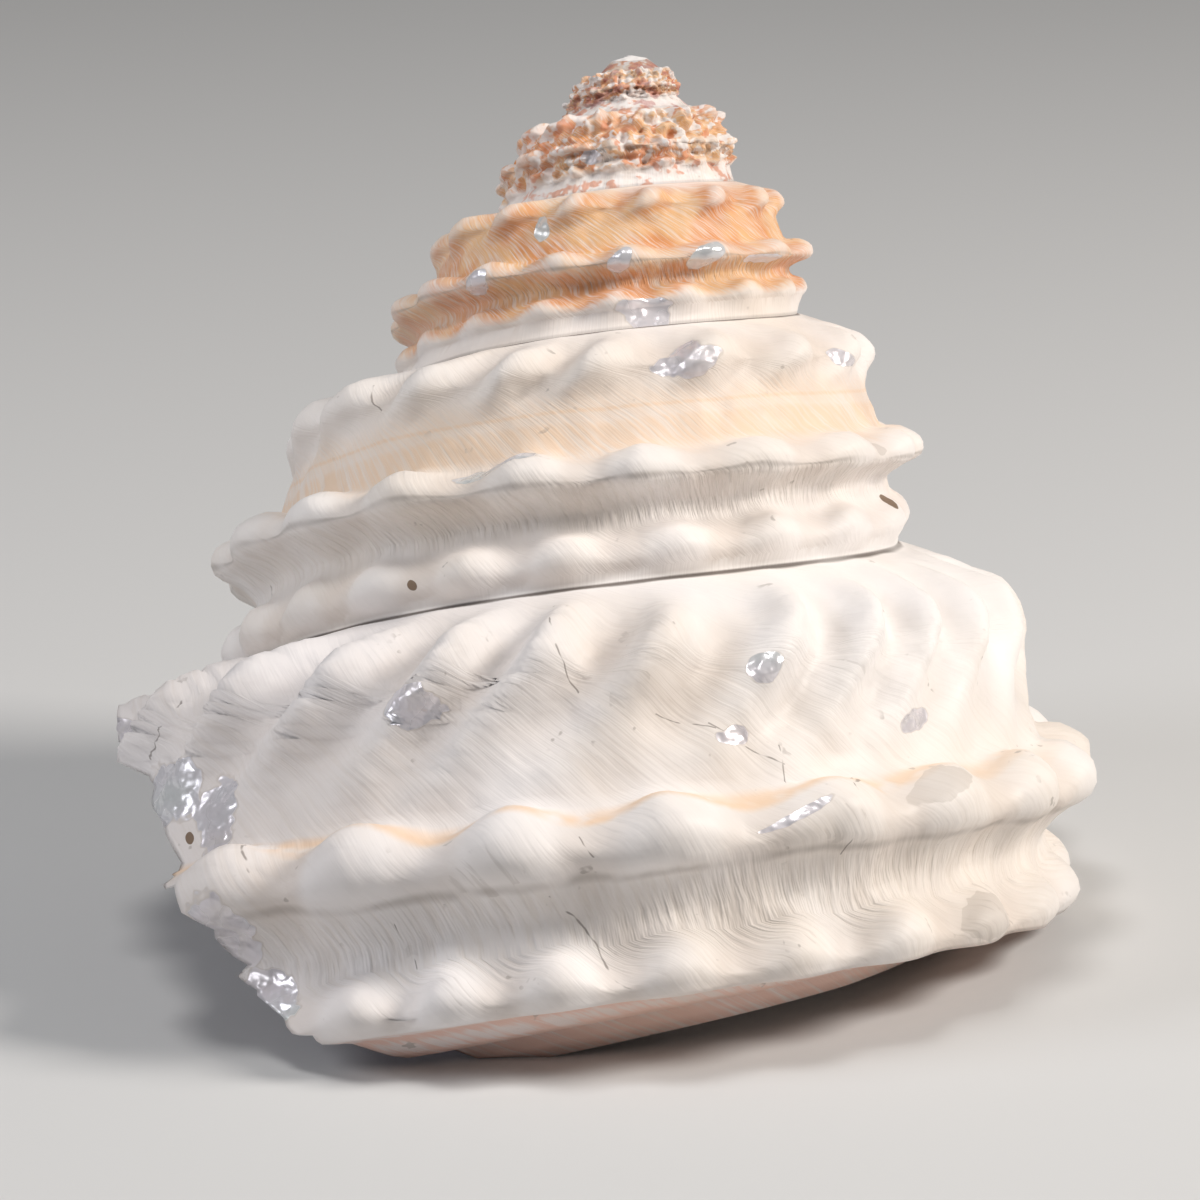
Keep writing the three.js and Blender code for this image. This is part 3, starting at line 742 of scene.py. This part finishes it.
def growth_inputs(tree):
    growth = add(tree, "ShaderNodeUVMap", uv_map="growth").outputs[0]
    split = add(tree, "ShaderNodeSeparateXYZ", {0: growth}).outputs
    depth = calculate(tree, "MULTIPLY", split[1], 100.0)
    lines = add(tree, "ShaderNodeUVMap", uv_map="lines").outputs[0]
    body = add(tree, "ShaderNodeTexCoord").outputs["Object"]
    return split[0], depth, lines, body


def times(tree, *values):
    """The product of all values."""
    made = values[0]
    for value in values[1:]:
        made = calculate(tree, "MULTIPLY", made, value)
    return made


def crust_grounds(tree):
    """The places, noises and masks that all parts of the crust share."""
    ground = SimpleNamespace()
    ground.phase, ground.depth, ground.lines, ground.body = growth_inputs(tree)
    ends = {"Value": ground.phase, "From Min": RAMP_PHASES[0], "From Max": RAMP_PHASES[1]}
    ground.whorl = add(tree, "ShaderNodeMapRange", ends).outputs[0]
    ground.broad = grain(tree, ground.body, 42.0, 2.0)
    ground.mottle = grain(tree, ground.body, 170.0, 2.0, 0.65)
    ground.striae = grain(tree, ground.lines, 1.0, 2.0, 0.6, (400.0, 8.0, 1.0))
    ground.fleck = grain(tree, ground.body, 480.0, 2.0, 0.65)
    ground.uneven = calculate(tree, "SUBTRACT", ground.broad, 0.5)
    ground.groove = between(tree, ground.depth, 99.0, 107.0, 1.5)
    ground.relief = add(tree, "ShaderNodeAttribute", attribute_name="relief").outputs["Fac"]
    ground.streak = fade(tree, ground.striae, 0.3, 0.6, 0.4, 1.0)
    ground.old = steps_of(tree, ground.whorl, ((0.0, 1.0), (0.36, 1.0), (0.47, 0.0), (1.0, 0.0)))
    ragged = grain(tree, ground.body, 330.0, 2.0, 0.6)
    ground.ragged = calculate(tree, "MULTIPLY_ADD", ragged, 2.8, -1.4)
    along = calculate(tree, "MULTIPLY", ground.phase, AROUND)
    ground.place = add(tree, "ShaderNodeCombineXYZ", {0: along, 1: ground.depth}).outputs[0]
    return ground


def drifting_depth(tree, ground, amount):
    """The depth, moved up and down by some millimetres so that bands don't run straight."""
    return calculate(tree, "MULTIPLY_ADD", ground.uneven, amount, ground.depth)


def white_colours(tree, ground, colours):
    """Chalk and cream, greyer towards the lip, with growth lines, and grime with painted shade darkening the
    troughs between the folds and nodes.
    """
    colour = blend(tree, fade(tree, ground.broad, 0.35, 0.7), colours.chalk, colours.cream)
    colour = blend(tree, times(tree, fade(tree, ground.phase, -0.34, -0.1), 0.55), colour, colours.grey_chalk)
    worn = times(tree, fade(tree, ground.broad, 0.42, 0.62), 0.75)
    lining = calculate(tree, "MAXIMUM", worn, ground.groove)
    lined = times(tree, fade(tree, ground.striae, 0.56, 0.36), lining, 0.2)
    colour = blend(tree, lined, colour, colours.line)
    # Grime with painted shade: the troughs between the folds and nodes are darkened, by a share that the
    # broad noise sets.
    low = fade(tree, ground.relief, 0.2, -0.8)
    trough_dirt_and_shade = times(tree, low, fade(tree, ground.broad, 0.3, 0.6, 0.15, 0.4))
    return blend(tree, trough_dirt_and_shade, colour, colours.trough_dirt_and_shade)


def spire_colours(tree, ground, colours, colour):
    """Orange and tan on the older whorls, with paler crests."""
    spire = steps_of(tree, ground.whorl, ((0.0, 1.0), (0.56, 1.0), (0.66, 0.12), (0.76, 0.0)))
    shifted = drifting_depth(tree, ground, 7.0)
    down = calculate(tree, "MULTIPLY_ADD", shifted, 0.02, -1.34)  # 0 at 67 mm, 1 at 117 mm
    depths = steps_of(tree, down, (
        (0.0, 0.35), (0.1, 0.95), (0.5, 1.0), (0.6, 0.55), (0.68, 0.9), (0.88, 0.95), (0.96, 0.05)))
    crest = fade(tree, ground.relief, 0.45, 1.1, 1.0, 0.5)
    tanned = blend(tree, fade(tree, ground.mottle, 0.38, 0.62), colours.orange, colours.tan)
    return blend(tree, times(tree, spire, depths, ground.streak, crest), colour, tanned)


def band_colours(tree, ground, colours, colour):
    """Two orange bands on the whorl above the last, on a peach ground."""
    whorl_above = steps_of(
        tree, ground.whorl, ((0.0, 0.0), (0.6, 0.0), (0.68, 1.0), (0.79, 1.0), (0.84, 0.0)))
    shifted = drifting_depth(tree, ground, 7.0)
    wide = times(tree, between(tree, shifted, 86.0, 93.0, 1.6), 0.5)
    peach = times(tree, between(tree, shifted, 81.0, 92.0, 3.0), 0.3)
    thin = times(tree, between(tree, drifting_depth(tree, ground, 3.0), 83.4, 84.6, 0.7), 0.55)
    banded = calculate(tree, "MAXIMUM", calculate(tree, "MAXIMUM", wide, peach), thin)
    return blend(tree, times(tree, banded, whorl_above, ground.streak), colour, colours.band)


def last_whorl_colours(tree, ground, colours, colour):
    """Painted shade in a dark line under the upper keel, the line along its top and the salmon cords of the
    base.
    """
    # Painted shade: a thin dark line just under the upper keel, in the colour of the grains, varied by the
    # mottle.
    keel_underside_shade = between(tree, drifting_depth(tree, ground, 3.0), 98.4, 99.1, 0.35)
    keel_underside_shade = times(tree, keel_underside_shade, fade(tree, ground.mottle, 0.35, 0.6, 0.1, 0.45))
    colour = blend(tree, keel_underside_shade, colour, colours.dirt_and_shade)
    line = between(tree, drifting_depth(tree, ground, 2.2), 91.3, 92.0, 0.5)
    near_lip = fade(tree, ground.phase, -0.5, -0.3)
    line = times(tree, line, fade(tree, ground.mottle, 0.3, 0.5), near_lip, 0.6)
    colour = blend(tree, line, colour, colours.band)
    cords = calculate(tree, "SINE", times(tree, ground.depth, 1.9))
    cords = calculate(tree, "MULTIPLY_ADD", cords, 0.12, ground.striae)
    on_base = between(tree, drifting_depth(tree, ground, 5.0), 113.5, 126.0, 2.2)
    last_whorl = fade(tree, ground.phase, -0.95, -0.8)
    salmon = times(tree, on_base, last_whorl, fade(tree, cords, 0.3, 0.65, 0.2, 0.72))
    return blend(tree, salmon, colour, colours.salmon)


def apex_colours(tree, ground, colours, colour):
    """Red, purple and white mottling on the oldest whorls, and the white tip."""
    red = times(tree, fade(tree, ground.fleck, 0.53, 0.6), ground.old, 0.7)
    colour = blend(tree, red, colour, colours.red)
    oldest = steps_of(tree, ground.whorl, ((0.0, 1.0), (0.2, 1.0), (0.3, 0.0), (1.0, 0.0)))
    blotch = grain(tree, ground.body, 620.0, 2.0, 0.6)
    purple = times(tree, fade(tree, blotch, 0.53, 0.6), oldest, 0.6)
    colour = blend(tree, purple, colour, colours.purple)
    white = times(tree, fade(tree, blotch, 0.5, 0.43), ground.old, 0.85)
    colour = blend(tree, white, colour, colours.chalk)
    return blend(tree, fade(tree, ground.phase, -4.62, -4.78), colour, colours.chalk)


def open_seam(tree, ground):
    """The suture, which is an open dark line between the last two whorls."""
    above = fade(tree, ground.depth, 66.98, 66.7)
    below = fade(tree, ground.depth, 117.85, 118.08)
    last_phase = fade(tree, ground.depth, 100.0, 101.0, 0.1, COVERED)
    on_spire = calculate(tree, "LESS_THAN", ground.phase, last_phase)
    age = steps_of(tree, ground.whorl, ((0.0, 0.2), (0.55, 0.3), (0.72, 1.0), (0.98, 1.0)))
    seam = times(tree, calculate(tree, "MAXIMUM", above, below), age, on_spire)
    return times(tree, seam, fade(tree, ground.broad, 0.3, 0.45, 0.35, 1.0))


def wandering(tree, body):
    """Small moves to all sides, in millimetres, for lines that don't run straight."""
    noises = {"Vector": body, "Scale": 260.0, "Detail": 2.0}
    away = add(tree, "ShaderNodeTexNoise", noises).outputs["Color"]
    away = add(tree, "ShaderNodeVectorMath", {0: away, 1: (0.5, 0.5, 0.5)}, operation="SUBTRACT").outputs[0]
    return add(tree, "ShaderNodeVectorMath", {0: away, "Scale": 1.4}, operation="SCALE").outputs[0]


def worn_colours(tree, ground, colours, colour, patch):
    """Scaly patches, grains in the grooves, the seam with the cracks, pits and brown spots."""
    scaly, _ = patches(tree, patch, ground.place, times(tree, ground.ragged, 2.0), SCALY)
    scales = times(tree, scaly, fade(tree, ground.striae, 0.46, 0.36), 0.22)
    colour = blend(tree, scales, colour, colours.dirt_and_shade)
    grains = times(tree, fade(tree, ground.fleck, 0.33, 0.28), fade(tree, ground.mottle, 0.5, 0.62), 0.5)
    colour = blend(tree, grains, colour, colours.dirt_and_shade)
    fine = times(tree, cracks(tree, crack_group(), ground.place, wandering(tree, ground.body)), 0.7)
    split = calculate(tree, "MAXIMUM", fine, open_seam(tree, ground))
    colour = blend(tree, times(tree, split, 0.85), colour, colours.crack)
    pit, _ = patches(tree, patch, ground.place, ground.ragged, PITS)
    colour = blend(tree, times(tree, pit, 0.45), colour, colours.pit)
    spot, _ = patches(tree, patch, ground.place, ground.ragged, SPOTS)
    return blend(tree, times(tree, spot, 0.9), colour, colours.rust)


def crust_normal(tree, ground, chip):
    """Growth lines, pleats in the groove and fine grain, with dents of their own on the chips."""
    pleats = calculate(tree, "MULTIPLY_ADD", ground.groove, 0.22, 0.07)
    height = calculate(tree, "MULTIPLY", ground.striae, pleats)
    height = calculate(tree, "MULTIPLY_ADD", ground.mottle, 0.24, height)
    height = calculate(tree, "MULTIPLY_ADD", times(tree, ground.fleck, ground.old), 0.5, height)
    crust = add(tree, "ShaderNodeBump", {"Distance": MM, "Height": height}).outputs[0]
    dents = add(tree, "ShaderNodeBump", {"Distance": CHIP_DENTS, "Height": ground.ragged}).outputs[0]
    return add(tree, "ShaderNodeMix", {0: chip, 4: crust, 5: dents}, data_type="VECTOR").outputs[1]


def chalk_material(colours):
    """The crust: chalky white below, orange and mottled red on the spire, worn through to nacre in places."""
    material = bpy.data.materials.new("shell_crust")
    material.use_nodes = True
    tree = material.node_tree
    shader = tree.nodes["Principled BSDF"]
    ground = crust_grounds(tree)
    patch = patch_group()
    colour = white_colours(tree, ground, colours)
    colour = spire_colours(tree, ground, colours, colour)
    colour = band_colours(tree, ground, colours, colour)
    colour = last_whorl_colours(tree, ground, colours, colour)
    colour = apex_colours(tree, ground, colours, colour)
    colour = worn_colours(tree, ground, colours, colour, patch)

    chip, chip_edge = patches(tree, patch, ground.place, ground.ragged, CHIPS)
    # Painted shadow: a darker ring round each chip, in the pit colour, stands for the step at the chip's
    # edge.
    chip_rim_shadow = between(tree, chip_edge, 0.82, 1.1, 0.12)
    colour = blend(tree, times(tree, chip_rim_shadow, 0.6), colour, colours.pit)
    pearl = use_group(tree, nacre_group_once(), {"Place": ground.body, "Base": colours.chip, "Tint": 0.08})
    colour = blend(tree, chip, colour, pearl["Color"])
    tree.links.new(colour, shader.inputs["Base Color"])
    roughness = calculate(tree, "MULTIPLY_ADD", chip, -0.3, fade(tree, ground.mottle, 0.3, 0.7, 0.48, 0.68))
    tree.links.new(roughness, shader.inputs["Roughness"])
    tree.links.new(times(tree, chip, 0.3), shader.inputs["Metallic"])
    tree.links.new(crust_normal(tree, ground, chip), shader.inputs["Normal"])
    shader.inputs["Specular IOR Level"].default_value = 0.4
    return material


def nacre_group_once():
    return bpy.data.node_groups.get("Nacre") or nacre_group()


def nacre_material(colours):
    """The lining of the aperture."""
    material = bpy.data.materials.new("shell_nacre")
    material.use_nodes = True
    tree = material.node_tree
    shader = tree.nodes["Principled BSDF"]
    body = add(tree, "ShaderNodeTexCoord").outputs["Object"]
    pearl = use_group(tree, nacre_group_once(), {"Place": body, "Base": colours.nacre, "Tint": 0.26})
    tree.links.new(pearl["Color"], shader.inputs["Base Color"])
    rough = fade(tree, grain(tree, body, 240.0, 3.0), 0.3, 0.7, 0.2, 0.36)
    tree.links.new(rough, shader.inputs["Roughness"])
    broad = grain(tree, body, 160.0, 2.0)
    height = calculate(tree, "MULTIPLY_ADD", broad, 0.8, calculate(tree, "MULTIPLY", pearl["Height"], 0.05))
    bump = add(tree, "ShaderNodeBump", {"Strength": 0.6, "Distance": MM, "Height": height})
    tree.links.new(bump.outputs[0], shader.inputs["Normal"])
    shader.inputs["Metallic"].default_value = 0.25
    shader.inputs["Coat Weight"].default_value = 0.4
    return material


def floor_material():
    material = bpy.data.materials.new("stage_paper")
    material.use_nodes = True
    tree = material.node_tree
    shader = tree.nodes["Principled BSDF"]
    shader.inputs["Base Color"].default_value = PAPER_TONE
    shader.inputs["Roughness"].default_value = 0.75
    return material


def area_light(name, at, target, size, power, colour):
    light = bpy.data.lights.new(name, "AREA")
    light.shape = "DISK"
    light.size = size
    light.energy = power
    light.color = colour
    lamp = bpy.data.objects.new(name, light)
    lamp.location = at
    lamp.rotation_euler = (Vector(target) - Vector(at)).to_track_quat("-Z", "Y").to_euler()
    bpy.context.scene.collection.objects.link(lamp)


class ShellForm(bpy.types.PropertyGroup):
    fold_height: FloatProperty(
        name="Fold height", description="How far the folds below the suture stand out, at the lip",
        default=2.05 * MM, unit="LENGTH", subtype="DISTANCE")
    upper_keel_height: FloatProperty(
        name="Upper keel nodes", description="How far the nodes of the upper keel stand out, at the lip",
        default=1.2 * MM, unit="LENGTH", subtype="DISTANCE")
    lower_keel_height: FloatProperty(
        name="Lower keel nodes", description="How far the nodes of the lower keel stand out, at the lip",
        default=1.15 * MM, unit="LENGTH", subtype="DISTANCE")
    keel_rise: FloatProperty(
        name="Keel weave", description="How far the keels weave up and down",
        default=0.65 * MM, unit="LENGTH", subtype="DISTANCE")


def colour_property(name, description, default):
    return FloatVectorProperty(
        name=name, description=description, default=default + (1.0,), size=4, min=0, max=1, subtype="COLOR")


class ShellColours(bpy.types.PropertyGroup):
    chalk: colour_property("Chalk", "The crust at its whitest", (0.86, 0.82, 0.80))
    cream: colour_property("Cream", "Warmer parts of the crust", (0.82, 0.745, 0.68))
    grey_chalk: colour_property("Grey chalk", "The crust near the lip", (0.77, 0.735, 0.75))
    # Grime with painted shade in the troughs between the folds and the nodes.
    trough_dirt_and_shade: colour_property("Hollows", "Between the folds and the nodes", (0.62, 0.52, 0.45))
    line: colour_property("Growth lines", "Fine lines along old lips", (0.60, 0.51, 0.42))
    orange: colour_property("Orange", "The older whorls", (0.70, 0.29, 0.10))
    tan: colour_property("Tan", "Lighter parts of the older whorls", (0.78, 0.46, 0.22))
    band: colour_property("Band", "The spiral bands on the whorl above the last", (0.82, 0.50, 0.24))
    salmon: colour_property("Salmon", "The cords on the base", (0.80, 0.47, 0.36))
    red: colour_property("Red", "Blotches near the apex", (0.66, 0.25, 0.13))
    purple: colour_property("Purple", "Blotches at the apex", (0.50, 0.21, 0.20))
    # Also the painted shade in the thin dark line under the upper keel.
    dirt_and_shade: colour_property("Dirt", "Grains in the grooves", (0.30, 0.26, 0.23))
    crack: colour_property("Crack", "The open seam and the cracks", (0.075, 0.05, 0.035))
    # Also painted as the shadow in a ring round each chip.
    pit: colour_property("Pit", "The layer under the crust", (0.50, 0.44, 0.39))
    rust: colour_property("Rust", "Brown spots", (0.16, 0.09, 0.04))
    chip: colour_property("Chips", "Nacre where the crust is gone", (0.74, 0.725, 0.73))
    nacre: colour_property("Nacre", "The lining of the aperture", (0.74, 0.70, 0.72))


class StageSettings(bpy.types.PropertyGroup):
    floor_size: FloatProperty(
        name="Floor size", description="Width of the pale floor",
        default=6.0, unit="LENGTH", subtype="DISTANCE")
    lens: FloatProperty(name="Lens", description="Focal length of the camera", default=180.0, min=10.0)
    light_power: FloatProperty(name="Light", description="Strength of all lights", default=1.0, min=0.0)


class SHELL_OT_build(bpy.types.Operator):
    """Builds the shell with its crust and its nacre"""

    bl_idname = "turban.build_shell"
    bl_label = "Build shell"

    def execute(self, context):
        settings = context.scene
        mesh = build_shell_mesh(settings.shell_form)
        shell = bpy.data.objects.new("turban_shell", mesh)
        context.scene.collection.objects.link(shell)
        mesh.materials.append(chalk_material(settings.shell_colours))
        mesh.materials.append(nacre_material(settings.shell_colours))
        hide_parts("shell")
        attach(shell, "root")
        return {"FINISHED"}


class SHELL_OT_stage(bpy.types.Operator):
    """Lays the pale floor and sets the soft lights and the camera"""

    bl_idname = "turban.set_stage"
    bl_label = "Set stage"

    def execute(self, context):
        scene = context.scene
        settings = scene.shell_stage
        bm = bmesh.new()
        bmesh.ops.create_grid(bm, x_segments=4, y_segments=4, size=settings.floor_size / 2)
        mesh = bpy.data.meshes.new("stage_floor")
        bm.to_mesh(mesh)
        bm.free()
        floor = bpy.data.objects.new("stage_floor", mesh)
        mesh.materials.append(floor_material())
        scene.collection.objects.link(floor)
        power = settings.light_power
        for name, at, size, watts, colour in LIGHTS:
            area_light(name, at, MIDDLE, size, watts * power, colour)
        world = bpy.data.worlds.new("studio")
        world.use_nodes = True
        world.node_tree.nodes["Background"].inputs["Color"].default_value = STUDIO_TONE
        world.node_tree.nodes["Background"].inputs["Strength"].default_value = STUDIO_STRENGTH * power
        scene.world = world
        scene.view_settings.view_transform = "Standard"
        lens = bpy.data.cameras.new("photo_view")
        lens.lens = settings.lens
        lens.sensor_width = SENSOR_WIDTH
        camera = bpy.data.objects.new("photo_view", lens)
        camera.location = CAMERA_PLACE
        camera.rotation_euler = (math.pi / 2 + PITCH_TO_REST, 0, 0)
        scene.collection.objects.link(camera)
        scene.camera = camera
        return {"FINISHED"}


class SHELL_PT_panel(bpy.types.Panel):
    """Sizes, colours and steps of the shell"""

    bl_label = "Wavy turban shell"
    bl_idname = "SHELL_PT_panel"
    bl_space_type = "VIEW_3D"
    bl_region_type = "UI"
    bl_category = "Shell"

    def draw(self, context):
        for name in ("shell_form", "shell_colours", "shell_stage"):
            group = getattr(context.scene, name)
            box = self.layout.box()
            for key in group.__annotations__:
                box.prop(group, key)
        self.layout.operator(SHELL_OT_build.bl_idname)
        self.layout.operator(SHELL_OT_stage.bl_idname)


CLASSES = (ShellForm, ShellColours, StageSettings, SHELL_OT_build, SHELL_OT_stage, SHELL_PT_panel)


def register():
    for cls in CLASSES:
        bpy.utils.register_class(cls)
    bpy.types.Scene.shell_form = PointerProperty(type=ShellForm)
    bpy.types.Scene.shell_colours = PointerProperty(type=ShellColours)
    bpy.types.Scene.shell_stage = PointerProperty(type=StageSettings)


def unregister():
    for name in ("shell_form", "shell_colours", "shell_stage"):
        delattr(bpy.types.Scene, name)
    for cls in reversed(CLASSES):
        bpy.utils.unregister_class(cls)


def main():
    register()
    bpy.ops.turban.build_shell()
    bpy.ops.turban.set_stage()


if __name__ == "__main__":
    main()
